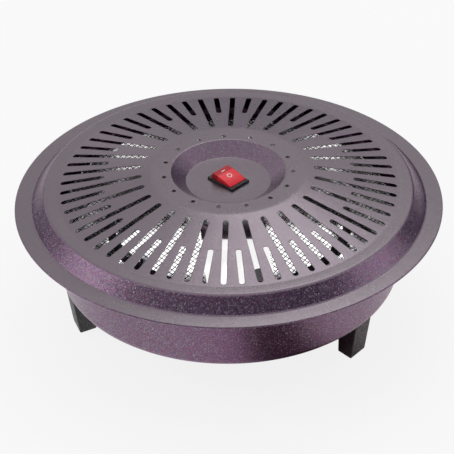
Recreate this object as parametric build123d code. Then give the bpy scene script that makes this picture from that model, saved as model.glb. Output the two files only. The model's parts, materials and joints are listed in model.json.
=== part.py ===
# Electric brazier: a round heater of pressed steel that stands under a table or drops into a ring.
# Millimetres, +Z up, the origin on the floor under the middle, -Y towards the front.
# A deep pan on three feet holds a bright reflector with a ring of tubular element over it. A wire
# guard and a wiring channel lie above the element, and a slotted cover with a central dish closes
# the pan. The dish carries a rocker switch that hangs in a heat shield box.

from build123d import *
import math
import os

os.makedirs("parts", exist_ok=True)

# Clearances and small fits
rim_clearance = 0.4
panel_clearance = 0.1
running_clearance = 0.05
rocker_clearance = 0.2
screw_hole_clearance = 0.2
clip_clearance = 0.2
guard_clearance = 0.8
screw_head_clearance = 1.0
thread_end_gap = 1.0
screw_tail = 1.0
cut_overrun = 1.0

# Bends, small rods and small holes are drawn with a few flats each
corner_chords = 2
crease_chords = 1
rod_flats = 6
hole_flats = 8
slot_end_chords = 3
ring_chords = 24
turn_chords = 4

# How boxes and columns lie on their place
standing = (Align.CENTER, Align.CENTER, Align.MIN)
reaching_out = (Align.MIN, Align.CENTER, Align.MIN)

# Stand and pan
foot_height = 34.0
pan_sheet = 1.0
pan_depth = 73.0
pan_setback = 20.4
pan_wall_draft = 3.5
pan_corner_radius = 9.0
panel_radius = 104.0
panel_height = 4.0
air_slot_count = 8
air_slot_width = 5.0
air_slot_inner_radius = 26.0
air_slot_outer_radius = 54.0

# Cover
cover_sheet = 1.0
cover_radius = 200.0
hem_width = 4.5
hem_height = 2.4
flange_width = 15.6
step_run = 12.6
step_height = 14.5
step_top_bend = 3.5
shoulder_width = 11.8
crown_radius = 73.0
crown_height = 31.2
dish_rim_radius = 53.5
dish_floor_radius = 39.5
dish_depth = 11.0
dish_rim_bend = 3.5

# Slots and holes of the cover
slot_pair_count = 30
slot_width = 5.0
slot_margin = 3.0
long_slot_inner_radius = 80.4
short_slot_inner_radius = 116.0
first_short_slot_azimuth = 190.0
vent_count = 15
vent_diameter = 4.0
vent_circle_radius = 60.1
first_vent_azimuth = 213.4

# Feet
foot_azimuths = {"foot_left": 200.0, "foot_right": 320.0, "foot_rear": 80.0}
foot_setback = 6.5
foot_depth = 17.0
foot_width = 22.0
foot_lean = 8.0
foot_side_taper = 8.0
foot_wrap_height = 6.0
foot_screw_inset = 9.0
foot_screw_head_depth = 20.0
foot_upright_bevel = 1.5
foot_sole_bevel = 0.8

# Fasteners
screw_diameter = 4.0
screw_head_diameter = 8.0
screw_head_height = 2.4
nut_across_flats = 7.0
nut_height = 3.2
stud_length = 7.0
rim_stud_count = 4
rim_stud_azimuth = 45.0
small_stud_diameter = 3.0
small_nut_across_flats = 5.5
small_nut_height = 2.4
rivet_diameter = 3.2
rivet_head_diameter = 6.0
rivet_head_height = 1.2
rivet_tail = 2.0

# Reflector and its posts
reflector_sheet = 0.6
reflector_lift = 26.4
reflector_depth = 40.6
reflector_side_gap = 8.5
reflector_lip_width = 6.0
post_radius = 85.0
post_diameter = 8.0
post_azimuths = (80.0, 200.0, 320.0)
post_thread_depth = 8.0

# Heating element
element_radius = 112.0
element_tube_diameter = 8.5
element_lift = 51.0
element_gap_angle = 30.0
element_end_bend = 14.0
element_end_radius = 78.0
bead_diameter = 10.5
bead_length = 6.0
pin_diameter = 2.6
pin_length = 14.0
clip_width = 8.0
clip_sheet = 1.0
clip_foot_length = 12.0
clip_spacing = 120.0

# Guard mesh
guard_sheet = 0.8
guard_inner_radius = 46.0
guard_inner_border = 3.0
guard_outer_border = 7.0
guard_ring_count = 4
guard_cells_per_ring = 24
guard_wire = 3.0
guard_rivet_azimuths = (35.0, 125.0, 215.0, 335.0)

# Wiring channel
wiring_azimuth = 274.0
channel_sheet = 0.8
channel_width = 60.0
channel_rise = 79.0
channel_skirt = 14.0
channel_end_inset = 10.0
channel_wall_setback = 4.0
channel_tab_width = 50.0
channel_tab_length = 9.0
channel_tab_setback = 0.5
shield_tab_inset = 2.0

# Thermal cut-out
cutout_end_inset = 14.0
cutout_offset = 19.0
cutout_cap_diameter = 20.0
cutout_cap_height = 3.0
cutout_body_diameter = 15.0
cutout_body_depth = 9.0
blade_width = 6.3
blade_sheet = 0.8
blade_length = 8.0
blade_spacing = 8.0

# Heat shield box round the switch
shield_sheet = 0.8
shield_width = 44.0
shield_flange_radius = 37.0
shield_depth = 37.0
shield_stud_radius = 32.3
shield_stud_azimuths = (100.0, 220.0, 340.0)
shield_window_width = 26.0
shield_window_height = 14.0
shield_window_drop = 1.0

# Rocker switch
switch_azimuth = -45.0
bezel_length = 31.2
bezel_width = 24.8
bezel_height = 2.2
bezel_chamfer = 0.8
switch_body_length = 28.2
switch_body_width = 22.0
switch_cavity_length = 26.4
switch_cavity_width = 19.6
switch_floor = 2.0
housing_depth_under_arm = 3.4
pivot_height = 0.4
rocker_reach = 13.0
rocker_crease_height = 2.6
rocker_half_swing = 12.0
rocker_wall = 1.6
rocker_skirt = 3.2
rocker_edge_chamfer = 0.5
rocker_end_relief = 1.4
pivot_pin_diameter = 2.6
pivot_pin_length = 1.0
plunger_diameter = 2.6
plunger_reach = 11.4
plunger_bore_end = -1.0
stem_diameter = 5.2
stem_length = 8.5
stem_root = 0.2
arm_length = 18.0
arm_width = 5.0
arm_sheet = 0.8
arm_ratio = 0.6
arm_depth = 13.1
arm_pivot_diameter = 2.4
contact_diameter = 3.0
contact_height = 0.8
terminal_spacing = 8.0
terminal_pad_length = 4.0
cradle_wall = 1.0
lamp_diameter = 4.0
lamp_length = 9.0
lamp_side_gap = 0.5

# Supply side, on the floor of the pan
block_distance = 74.0
block_length = 27.0
block_width = 18.0
block_height = 14.0
block_pole_spacing = 16.0
block_bore = 4.4
block_edge_chamfer = 1.5
pole_screw_diameter = 4.0
pole_screw_sink = 1.0
gland_body_diameter = 12.0
gland_flange_diameter = 19.0
gland_flange_height = 3.0
gland_bore = 7.0
gland_nut_height = 4.0
gland_tail = 2.0
gland_nut_across_flats = 17.0
bush_distance = 50.0
bush_bore = 8.0
bush_body_diameter = 12.0
bush_flange_diameter = 16.0
bush_flange_height = 1.5
bush_height = 6.0
earth_distance = 74.0
earth_offset = 32.0
tag_sheet = 0.8
tag_ring_diameter = 9.0
tag_reach = 6.0
tag_barrel_bore = 2.6
tag_barrel_length = 6.0
lead_diameter = 2.4
lead_rise = 66.5
lead_slack = 3.0
lead_turn_run = 8.0
bush_lead_offset = 1.6
supply_lane = 10.0
cutout_lane = 25.0
cutout_lane_setback = 18.0
inner_window_lane = 5.5
outer_window_lane = 10.5

# Levels that follow
pan_underside = foot_height
pan_floor = pan_underside + pan_sheet
panel_underside = pan_underside + panel_height
panel_top = panel_underside + pan_sheet
rim_underside = pan_underside + pan_depth
rim_top = rim_underside + pan_sheet
cover_plane = rim_top + cover_sheet
shoulder_top = cover_plane + step_height
crown_top = cover_plane + crown_height
dish_floor = crown_top - dish_depth
dish_underside = dish_floor - cover_sheet
reflector_floor = pan_underside + reflector_lift
reflector_top = reflector_floor + reflector_sheet
lip_underside = reflector_floor + reflector_depth
lip_top = lip_underside + reflector_sheet
element_level = pan_underside + element_lift
lead_level = pan_underside + lead_rise
channel_top = pan_underside + channel_rise
channel_underside = channel_top - channel_sheet
shield_floor = dish_underside - shield_depth
pivot_level = dish_floor + pivot_height
housing_floor = pivot_level - arm_depth - housing_depth_under_arm
housing_underside = housing_floor - switch_floor
rocker_width = switch_cavity_width - 2 * rocker_clearance

# Radii and distances that follow
pan_rim_radius = cover_radius - hem_width - rim_clearance
step_foot_radius = cover_radius - flange_width
step_top_radius = step_foot_radius - step_run
shoulder_inner_radius = step_top_radius - shoulder_width
slot_outer_radius = shoulder_inner_radius - slot_margin
rim_stud_radius = (pan_rim_radius + step_foot_radius) / 2
pan_mouth_radius = step_foot_radius - pan_setback
pan_base_radius = pan_mouth_radius - pan_wall_draft
panel_foot_radius = panel_radius + panel_height
gland_distance = (panel_foot_radius + pan_base_radius - pan_corner_radius) / 2
foot_face_radius = pan_base_radius - foot_setback
foot_screw_radius = foot_face_radius - foot_screw_inset
reflector_radius = pan_base_radius - reflector_side_gap
reflector_lip_radius = reflector_radius + reflector_lip_width
channel_length = reflector_lip_radius - channel_end_inset
channel_wall_length = channel_length - channel_wall_setback
cutout_distance = channel_length - cutout_end_inset
cutout_lane_end = cutout_distance - cutout_lane_setback
channel_rivet_offset = channel_tab_width / 3


def on_wiring(distance, offset=0.0, level=0.0):
    """A place measured outwards along the wiring channel and square to it."""
    return Rot(0, 0, wiring_azimuth) * Pos(distance, offset, level)


def around(radius, azimuths, level=0.0):
    """Places at one radius, each turned to face outwards."""
    return [Rot(0, 0, azimuth) * Pos(radius, 0, level) for azimuth in azimuths]


def on_switch(along=0.0, across=0.0, level=0.0):
    """A place in the switch's own frame: along its length, across it and up from its pivot."""
    return Rot(0, 0, switch_azimuth) * Pos(along, across, pivot_level + level)


def column(diameter, low, high):
    """A round column between two levels."""
    return Pos(0, 0, low) * Cylinder(diameter / 2, high - low, align=standing)


def block(length, width, low, high):
    """A box centred on the axis between two levels."""
    return Pos(0, 0, low) * Box(length, width, high - low, align=standing)


def rod(diameter, low, high, flats=rod_flats):
    """A small column with flats, its corners on the stated diameter."""
    outline = RegularPolygon(diameter / 2, flats)
    return extrude(Pos(0, 0, low) * outline, amount=high - low)


def hole(diameter, flats=rod_flats):
    """The outline of a small hole with flats, which clears the stated diameter all round."""
    return RegularPolygon(diameter / 2, flats, major_radius=False)


def profile(points):
    """A closed face in the XZ plane from (radius, level) corners."""
    return Plane.XZ * make_face(Polyline(*points, close=True))


def eased(points, bends):
    """The outline with its corners cut to chords of an arc, each bend a (radius, chords) pair."""
    result = [Vector(*points[0])]
    for before, corner, after, (radius, chords) in zip(points, points[1:], points[2:], bends):
        corner = Vector(*corner)
        inward = (Vector(*before) - corner).normalized()
        outward = (Vector(*after) - corner).normalized()
        if radius == 0:
            result.append(corner)
            continue
        half_angle = math.radians(inward.get_angle(outward) / 2)
        centre = corner + (inward + outward).normalized() * (radius / math.sin(half_angle))
        first = corner + inward * (radius / math.tan(half_angle)) - centre
        turn = 180 - 2 * math.degrees(half_angle)
        side = 1 if inward.cross(outward).Z < 0 else -1
        result += [centre + first.rotate(Axis.Z, side * turn * i / chords) for i in range(chords + 1)]
    return result + [Vector(*points[-1])]


def shifted(points, distance):
    """The same open outline moved to its left, with its corners mitred."""
    across = [(after - before).normalized().rotate(Axis.Z, 90) for before, after in zip(points, points[1:])]
    result = [points[0] + across[0] * distance]
    for corner, first, second in zip(points[1:], across, across[1:]):
        middle = (first + second).normalized()
        result.append(corner + middle * (distance / middle.dot(first)))
    return result + [points[-1] + across[-1] * distance]


def spun_sheet(points, bends, thickness):
    """A sheet spun about Z. The points run along one face, and the sheet lies on their left."""
    near_face = eased(points, bends)
    far_face = shifted(near_face, thickness)
    return revolve(profile(near_face + far_face[::-1]), Axis.Z)


def radial_slot(inner_radius, outer_radius, width):
    """A slot with round ends that runs outwards along X."""
    turns = [180 * i / slot_end_chords for i in range(slot_end_chords + 1)]
    end = [Vector(0, -width / 2).rotate(Axis.Z, turn) for turn in turns]
    outer_end = [Vector(outer_radius - width / 2, 0) + corner for corner in end]
    inner_end = [Vector(inner_radius + width / 2, 0) - corner for corner in end]
    return make_face(Polyline(*outer_end, *inner_end, close=True))


def punched(shape, sketches, low, high):
    """A shape with flat outlines punched through it straight down."""
    tool = extrude(Pos(0, 0, low) * Sketch(children=sketches), amount=high - low)
    return shape - tool


def hexagon(across_flats, low, high):
    """A hexagonal prism between two levels."""
    outline = RegularPolygon(across_flats / 2, 6, major_radius=False)
    return extrude(Pos(0, 0, low) * outline, amount=high - low)


def nut(across_flats, bore, low, high):
    return punched(hexagon(across_flats, low, high), [hole(bore + 2 * running_clearance)], low, high)


def screw(length):
    """A screw that hangs from its seat at level 0."""
    return rod(screw_diameter, -length, 0) + rod(screw_head_diameter, 0, screw_head_height)


def rivet(grip):
    """A blind rivet with its head on level 0 and its tail just past the grip."""
    return rod(rivet_diameter, -grip - rivet_tail, 0) + rod(rivet_head_diameter, 0, rivet_head_height)


def tube_along(path, diameter):
    """A tube with flats along straight runs, mitred at their corners."""
    start = Plane(origin=path @ 0, z_dir=path % 0)
    return sweep(start * RegularPolygon(diameter / 2, rod_flats), path, transition=Transition.RIGHT)


def group(shapes):
    return Compound(children=[solid for shape in shapes for solid in shape.solids()])


# Casing


def body_pan():
    """The deep pan: a raised middle panel, a rounded corner, a drafted wall and a flat rim."""
    outline = [
        (0, panel_underside),
        (panel_radius, panel_underside),
        (panel_foot_radius, pan_underside),
        (pan_base_radius, pan_underside),
        (pan_mouth_radius, rim_underside),
        (pan_rim_radius, rim_underside),
    ]
    bends = [(0, 0), (0, 0), (pan_corner_radius, corner_chords), (0, 0)]
    pan = spun_sheet(outline, bends, pan_sheet)
    screw_hole = hole(screw_diameter + screw_hole_clearance)
    air_slot = radial_slot(air_slot_inner_radius, air_slot_outer_radius, air_slot_width)
    holes = [Rot(0, 0, (i + 0.5) * 360 / air_slot_count) * air_slot for i in range(air_slot_count)]
    holes += [place * screw_hole for place in around(foot_screw_radius, foot_azimuths.values())]
    holes += [place * screw_hole for place in around(post_radius, post_azimuths)]
    holes += [on_wiring(earth_distance, earth_offset) * screw_hole, on_wiring(block_distance) * screw_hole]
    holes += [on_wiring(gland_distance) * Circle(gland_body_diameter / 2 + panel_clearance)]
    pan = punched(pan, holes, pan_underside - cut_overrun, panel_top + cut_overrun)
    rim_holes = [place * screw_hole for place in around(rim_stud_radius, rim_stud_azimuths())]
    return punched(pan, rim_holes, rim_underside - cut_overrun, rim_top + cut_overrun)


def rim_stud_azimuths():
    return [rim_stud_azimuth + i * 360 / rim_stud_count for i in range(rim_stud_count)]


def cover_envelope(skirt, crown):
    """The filled form under one face of the cover, its slotted cone in one flat to a slot."""
    low = cover_plane - hem_height
    base = revolve(profile([(0, low), (skirt[0].X, low), *skirt, (0, skirt[-1].Y)]), Axis.Z)
    dish = revolve(profile([*crown, (0, crown[0].Y)]), Axis.Z)
    return base + flat_sided_cone(skirt[-1], crown[0]) - dish


def flat_sided_cone(foot, top):
    """A cone between two corners given as radius and level, with its edges midway between slots."""
    azimuths = [first_short_slot_azimuth + (i + 0.5) * slot_pitch() for i in range(2 * slot_pair_count)]
    feet = [Vector(foot.X, 0, foot.Y).rotate(Axis.Z, azimuth) for azimuth in azimuths]
    tops = [Vector(top.X, 0, top.Y).rotate(Axis.Z, azimuth) for azimuth in azimuths]
    outlines = [(feet[i - 1], feet[i], tops[i], tops[i - 1]) for i in range(len(azimuths))]
    flats = [Face(Wire.make_polygon(outline)) for outline in [*outlines, feet, tops]]
    return Solid(Shell(flats))


def slot_pitch():
    return 180 / slot_pair_count


def grille_cover():
    """The pressed cover: flange, step, slotted cone, crown with its small vents, and the dish."""
    skirt = eased([
        (cover_radius, cover_plane),
        (step_foot_radius, cover_plane),
        (step_top_radius, shoulder_top),
        (shoulder_inner_radius, shoulder_top),
    ], [(0, 0), (step_top_bend, crease_chords)])
    crown = eased([
        (crown_radius, crown_top),
        (dish_rim_radius, crown_top),
        (dish_floor_radius, dish_floor),
        (0, dish_floor),
    ], [(dish_rim_bend, crease_chords), (0, 0)])
    underside = shifted(skirt + crown, cover_sheet)
    underside[0] = Vector(cover_radius - hem_width, cover_plane - cover_sheet)
    inner_skirt = underside[:len(skirt)]
    inner_crown = underside[len(skirt):]
    cover = cover_envelope(skirt, crown) - cover_envelope(inner_skirt, inner_crown)

    short_slot = radial_slot(short_slot_inner_radius, slot_outer_radius, slot_width)
    long_slot = radial_slot(long_slot_inner_radius, slot_outer_radius, slot_width)
    vent = Pos(vent_circle_radius, 0) * hole(vent_diameter, hole_flats)
    first = first_short_slot_azimuth
    openings = [Rot(0, 0, first + 2 * i * slot_pitch()) * short_slot for i in range(slot_pair_count)]
    openings += [Rot(0, 0, first + (2 * i + 1) * slot_pitch()) * long_slot for i in range(slot_pair_count)]
    openings += [Rot(0, 0, first_vent_azimuth - i * 360 / vent_count) * vent for i in range(vent_count)]
    cutout_length = switch_body_length + 2 * panel_clearance
    cutout_width = switch_body_width + 2 * panel_clearance
    openings += [Rot(0, 0, switch_azimuth) * Rectangle(cutout_length, cutout_width)]
    return punched(cover, openings, cover_plane, crown_top + cut_overrun)


def rim_studs():
    stud = rod(screw_diameter, cover_plane - cover_sheet - stud_length, cover_plane - cover_sheet)
    return group([place * stud for place in around(rim_stud_radius, rim_stud_azimuths())])


def rim_nuts():
    fixing = nut(nut_across_flats, screw_diameter, rim_underside - nut_height, rim_underside)
    return group([place * fixing for place in around(rim_stud_radius, rim_stud_azimuths())])


def foot(azimuth):
    """A moulded foot: wider outwards, its outer face leaning out, and its top shaped to the pan."""
    top = pan_underside + foot_wrap_height
    inner_radius = foot_face_radius - foot_depth
    lean = math.tan(math.radians(foot_lean))
    side = profile([
        (inner_radius, 0),
        (foot_face_radius, 0),
        (foot_face_radius + top * lean, top),
        (inner_radius, top),
    ])
    body = extrude(side, amount=foot_width, both=True)
    taper = math.tan(math.radians(foot_side_taper))
    inner_half = foot_width / 2 - foot_depth * taper
    outer_half = foot_width / 2 + top * lean * taper
    outer_reach = foot_face_radius + top * lean
    plan = make_face(Polyline(
        (inner_radius, -inner_half),
        (outer_reach, -outer_half),
        (outer_reach, outer_half),
        (inner_radius, inner_half),
        close=True,
    ))
    body = body & extrude(plan, amount=top)
    upright = body.edges().filter_by(lambda edge: abs(edge.center().Z - top / 2) < top / 4)
    body = chamfer(upright, foot_upright_bevel)
    body = chamfer(body.faces().sort_by(Axis.Z)[0].edges(), foot_sole_bevel)
    body -= pan_envelope()
    head_hole = Pos(foot_screw_radius, 0) * hole(screw_head_diameter + screw_head_clearance)
    shank_hole = Pos(foot_screw_radius, 0) * hole(screw_diameter + screw_hole_clearance)
    body = punched(body, [head_hole], 0, foot_screw_head_depth)
    return Rot(0, 0, azimuth) * punched(body, [shank_hole], 0, top)


def pan_envelope():
    """The pan's outside as a filled solid, which shapes what seats against it."""
    outline = [
        (0, pan_underside),
        (pan_base_radius, pan_underside),
        (pan_mouth_radius, rim_underside),
        (0, rim_underside),
    ]
    return revolve(profile(eased(outline, [(pan_corner_radius, corner_chords), (0, 0)])), Axis.Z)


def foot_screws():
    length = pan_floor + nut_height + screw_tail - foot_screw_head_depth
    fixing = Pos(0, 0, foot_screw_head_depth) * Rot(180, 0, 0) * screw(length)
    return group([place * fixing for place in around(foot_screw_radius, foot_azimuths.values())])


def foot_nuts():
    fixing = nut(nut_across_flats, screw_diameter, pan_floor, pan_floor + nut_height)
    return group([place * fixing for place in around(foot_screw_radius, foot_azimuths.values())])


# Heating section


def reflector_dish():
    """The bright tray under the element, with a flat lip that carries the guard."""
    outline = [
        (0, reflector_floor),
        (reflector_radius, reflector_floor),
        (reflector_radius, lip_underside),
        (reflector_lip_radius, lip_underside),
    ]
    bowl = spun_sheet(outline, [(0, 0), (0, 0)], reflector_sheet)
    screw_hole = hole(screw_diameter + screw_hole_clearance)
    rivet_hole = hole(rivet_diameter + 2 * running_clearance)
    holes = [place * screw_hole for place in around(post_radius, post_azimuths)]
    holes += [place * rivet_hole for place in around(clip_rivet_radius(), clip_azimuths())]
    holes += [on_wiring(bush_distance) * hole(bush_body_diameter + 2 * panel_clearance)]
    holes += [place * rivet_hole for place in around(lip_middle_radius(), guard_rivet_azimuths)]
    holes += [place * rivet_hole for place in channel_rivet_places(0)]
    return punched(bowl, holes, reflector_floor - cut_overrun, lip_top + cut_overrun)


def reflector_posts():
    thread = hole(screw_diameter + 2 * running_clearance)
    post = hexagon(post_diameter, panel_top, reflector_floor)
    post = punched(post, [thread], panel_top, panel_top + post_thread_depth)
    post = punched(post, [thread], reflector_floor - post_thread_depth, reflector_floor)
    return group([place * post for place in around(post_radius, post_azimuths)])


def post_screws_lower():
    fixing = Pos(0, 0, panel_underside) * Rot(180, 0, 0) * screw(post_thread_depth - thread_end_gap)
    return group([place * fixing for place in around(post_radius, post_azimuths)])


def post_screws_upper():
    fixing = Pos(0, 0, reflector_top) * screw(post_thread_depth - thread_end_gap)
    return group([place * fixing for place in around(post_radius, post_azimuths)])


def heating_ring():
    """The tubular element: one open ring whose two ends turn in under the wiring channel."""
    half_gap = element_gap_angle / 2
    turn = 90 + half_gap
    turn_centre = Vector(element_radius - element_end_bend, 0).rotate(Axis.Z, half_gap)
    ring_step = (180 - half_gap) / ring_chords
    ring_azimuths = [half_gap + (i + 0.5) * ring_step for i in range(ring_chords)]
    ring = [Vector(element_radius, 0).rotate(Axis.Z, azimuth) for azimuth in ring_azimuths]
    start = Vector(element_end_bend, 0).rotate(Axis.Z, half_gap)
    bend = [turn_centre + start.rotate(Axis.Z, -turn * (i + 0.5) / turn_chords) for i in range(turn_chords)]
    half = [Vector(element_end_radius, bend[-1].Y)] + bend[::-1] + ring
    mirrored = [Vector(corner.X, -corner.Y) for corner in half[::-1]]
    return on_wiring(0, 0, element_level) * tube_along(Polyline(*half, *mirrored), element_tube_diameter)


def element_end_offset():
    half_gap = math.radians(element_gap_angle / 2)
    return (element_radius - element_end_bend) * math.sin(half_gap) - element_end_bend


def element_end_places():
    """The two element ends, each facing inwards along the channel."""
    offsets = [-element_end_offset(), element_end_offset()]
    return [on_wiring(element_end_radius, across, element_level) * Rot(0, -90, 0) for across in offsets]


def element_beads():
    bore = hole(pin_diameter + 2 * running_clearance)
    bead = punched(rod(bead_diameter, 0, bead_length), [bore], 0, bead_length)
    return group([place * bead for place in element_end_places()])


def element_pins():
    pin = rod(pin_diameter, 0, pin_length)
    return group([place * pin for place in element_end_places()])


def clip_azimuths():
    return [wiring_azimuth + clip_spacing * (i + 0.5) for i in range(3)]


def clip_rivet_radius():
    return element_radius - element_tube_diameter / 2 - clip_foot_length / 2


def element_clips():
    """Straps from the reflector's floor that wrap the tube."""
    inner = element_tube_diameter / 2 + clip_clearance
    outer = inner + clip_sheet
    wrap = hole(2 * outer) - hole(2 * inner)
    riser_height = element_level - reflector_top
    riser = Pos(-outer + clip_sheet / 2, -riser_height / 2) * Rectangle(clip_sheet, riser_height)
    riser -= hole(2 * inner)
    sole = Pos(-outer - clip_foot_length / 2 + clip_sheet, clip_sheet / 2 - riser_height)
    sole = sole * Rectangle(clip_foot_length, clip_sheet)
    strap = extrude(Plane.XZ * (wrap + riser + sole), amount=clip_width / 2, both=True)
    rivet_hole = Pos(clip_rivet_radius() - element_radius, 0) * hole(rivet_diameter + 2 * running_clearance)
    strap = punched(strap, [rivet_hole], -riser_height - cut_overrun, -element_tube_diameter)
    return group([place * strap for place in around(element_radius, clip_azimuths(), element_level)])


def clip_rivets():
    fixing = Pos(0, 0, reflector_top + clip_sheet) * rivet(clip_sheet + reflector_sheet)
    return group([place * fixing for place in around(clip_rivet_radius(), clip_azimuths())])


# Guard, wiring channel and cut-out


def lip_middle_radius():
    return (reflector_radius + reflector_lip_radius) / 2


def guard_mesh():
    """The flat guard: borders and rings of diamond cells, cut away where the channel passes."""
    outer_border = reflector_lip_radius - guard_outer_border
    inner_border = guard_inner_radius + guard_inner_border
    plate = Circle(reflector_lip_radius) - Circle(guard_inner_radius)
    notch_width = channel_width + 2 * guard_clearance
    notch = Pos(reflector_lip_radius / 2, 0) * Rectangle(reflector_lip_radius, notch_width)
    notch = Rot(0, 0, wiring_azimuth) * notch
    ring_depth = (outer_border - inner_border) / guard_ring_count
    cells = []
    for ring_number in range(guard_ring_count):
        middle = inner_border + (ring_number + 0.5) * ring_depth
        cell_width = 2 * math.pi * middle / guard_cells_per_ring
        for i in range(guard_cells_per_ring):
            azimuth = wiring_azimuth + (i + 0.5 * (ring_number % 2)) * 360 / guard_cells_per_ring
            centre = Vector(middle, 0).rotate(Axis.Z, azimuth - wiring_azimuth)
            half_diagonal = ring_depth / 2
            if centre.X > 0 and abs(centre.Y) < notch_width / 2 + half_diagonal:
                continue
            half_length = (ring_depth - guard_wire) / 2
            half_width = (cell_width - guard_wire) / 2
            corners = [(-half_length, 0), (0, -half_width), (half_length, 0), (0, half_width)]
            cell = Pos(middle, 0) * make_face(Polyline(*corners, close=True))
            cells.append(Rot(0, 0, azimuth) * cell)
    rivet_hole = hole(rivet_diameter + 2 * running_clearance)
    cells += [place * rivet_hole for place in around(lip_middle_radius(), guard_rivet_azimuths)]
    sheet = extrude(Pos(0, 0, lip_top) * (plate - notch), amount=guard_sheet)
    return punched(sheet, cells, lip_top - cut_overrun, lip_top + guard_sheet + cut_overrun)


def guard_rivets():
    fixing = Pos(0, 0, lip_top + guard_sheet) * rivet(guard_sheet + reflector_sheet)
    return group([place * fixing for place in around(lip_middle_radius(), guard_rivet_azimuths)])


def channel_rivet_places(level):
    reach = math.sqrt(lip_middle_radius() ** 2 - channel_rivet_offset ** 2)
    return [on_wiring(reach, side * channel_rivet_offset, level) for side in (-1, 1)]


def wiring_channel():
    """The bright inverted trough over the leads, from the switch's shield to the reflector's lip."""
    start = shield_width / 2 + running_clearance
    skirt_low = channel_top - channel_skirt
    wall_span = channel_wall_length - start - channel_sheet
    trough = Pos(start, 0, channel_underside) * Box(
        channel_length - start, channel_width, channel_sheet, align=reaching_out
    )
    for side in (-1, 1):
        wall_middle = side * (channel_width - channel_sheet) / 2
        wall = Pos(start + channel_sheet, wall_middle, skirt_low) * Box(
            wall_span, channel_sheet, channel_skirt, align=reaching_out
        )
        trough += wall
    end_wall = Pos(channel_length - channel_sheet, 0, lip_top) * Box(
        channel_sheet, channel_tab_width, channel_top - lip_top, align=reaching_out
    )
    tab = Pos(channel_length - channel_sheet, 0, lip_top) * Box(
        channel_tab_length, channel_tab_width, channel_sheet, align=reaching_out
    )
    shield_tab = Pos(start, 0, skirt_low + shield_tab_inset) * Box(
        channel_sheet, blade_width, channel_skirt - shield_tab_inset, align=reaching_out
    )
    trough = on_wiring(0) * (trough + end_wall + tab + shield_tab)
    trough = trough & column(2 * (reflector_lip_radius - channel_tab_setback), 0, crown_top)
    seat = hole(cutout_body_diameter + 2 * panel_clearance, hole_flats)
    seat = on_wiring(cutout_distance, cutout_offset) * seat
    trough = punched(trough, [seat], channel_underside - cut_overrun, channel_top + cut_overrun)
    rivet_hole = hole(rivet_diameter + 2 * running_clearance)
    rivet_holes = [place * rivet_hole for place in channel_rivet_places(0)]
    return punched(trough, rivet_holes, lip_top - cut_overrun, lip_top + channel_sheet + cut_overrun)


def channel_rivets():
    fixing = rivet(channel_sheet + reflector_sheet)
    return group([place * fixing for place in channel_rivet_places(lip_top + channel_sheet)])


def thermal_cutout():
    """The black disc thermostat: its cap lies on the channel and its body hangs inside."""
    body = rod(cutout_cap_diameter, channel_top, channel_top + cutout_cap_height, 2 * hole_flats)
    body += rod(cutout_body_diameter, channel_top - cutout_body_depth, channel_top, hole_flats)
    return on_wiring(cutout_distance, cutout_offset) * body


def cutout_blades():
    low = channel_top - cutout_body_depth - blade_length
    blade = block(blade_sheet, blade_width, low, channel_top - cutout_body_depth)
    shifts = [-blade_spacing / 2, blade_spacing / 2]
    return group([on_wiring(cutout_distance + shift, cutout_offset) * blade for shift in shifts])


# Switch


def switch_shield():
    """The box under the dish that keeps the heat off the switch, with a window for the leads."""
    high = dish_underside - shield_sheet
    inner_width = shield_width - 2 * shield_sheet
    stud_hole = hole(small_stud_diameter + screw_hole_clearance)
    flange_outline = RegularPolygon(shield_flange_radius, hole_flats)
    flange = Pos(0, 0, high) * extrude(flange_outline, amount=shield_sheet)
    box = on_wiring(0) * block(shield_width, shield_width, shield_floor, high)
    cavity = on_wiring(0) * block(inner_width, inner_width, shield_floor + shield_sheet, dish_underside)
    window = Pos(0, 0, channel_underside - shield_window_drop) * Box(
        shield_width, shield_window_width, shield_window_height, align=(Align.MIN, Align.CENTER, Align.MAX)
    )
    window -= Box(2 * shield_width, blade_width, 2 * channel_top)
    stud_holes = [place * stud_hole for place in around(shield_stud_radius, shield_stud_azimuths)]
    shield = punched(flange + box - cavity, stud_holes, high - cut_overrun, dish_underside)
    return shield - on_wiring(0) * window


def shield_studs():
    low = dish_underside - shield_sheet - small_nut_height - screw_tail
    stud = rod(small_stud_diameter, low, dish_underside)
    return group([place * stud for place in around(shield_stud_radius, shield_stud_azimuths)])


def shield_nuts():
    high = dish_underside - shield_sheet
    fixing = nut(small_nut_across_flats, small_stud_diameter, high - small_nut_height, high)
    return group([place * fixing for place in around(shield_stud_radius, shield_stud_azimuths)])


def switch_housing():
    """The black switch body with its bezel, open at the top, with bearing holes for the rocker."""
    low = housing_underside - pivot_level
    panel = -pivot_height
    body = block(switch_body_length, switch_body_width, low, panel)
    bezel = block(bezel_length, bezel_width, panel, panel + bezel_height)
    bezel = chamfer(bezel.faces().sort_by(Axis.Z)[-1].edges(), bezel_chamfer)
    body += bezel
    body -= block(switch_cavity_length, switch_cavity_width, low + switch_floor, panel + bezel_height)
    bearing_half = switch_cavity_width / 2 + pivot_pin_length
    bearing = hole(pivot_pin_diameter + 2 * running_clearance, hole_flats)
    body -= Rot(90, 0, 0) * extrude(bearing, amount=bearing_half, both=True)
    slot_length = blade_sheet + 2 * running_clearance
    slot_breadth = blade_width + 2 * running_clearance
    for along in terminal_positions():
        body -= Pos(along, 0) * block(slot_length, slot_breadth, low, low + switch_floor)
    return on_switch() * body


def terminal_positions():
    return [-terminal_spacing, 0, terminal_spacing]


def at_rest(shape):
    """Turns a shape from the rocker's middle position to its rest, with the outer end pressed."""
    return on_switch() * Rot(0, rocker_half_swing, 0) * shape


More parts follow.
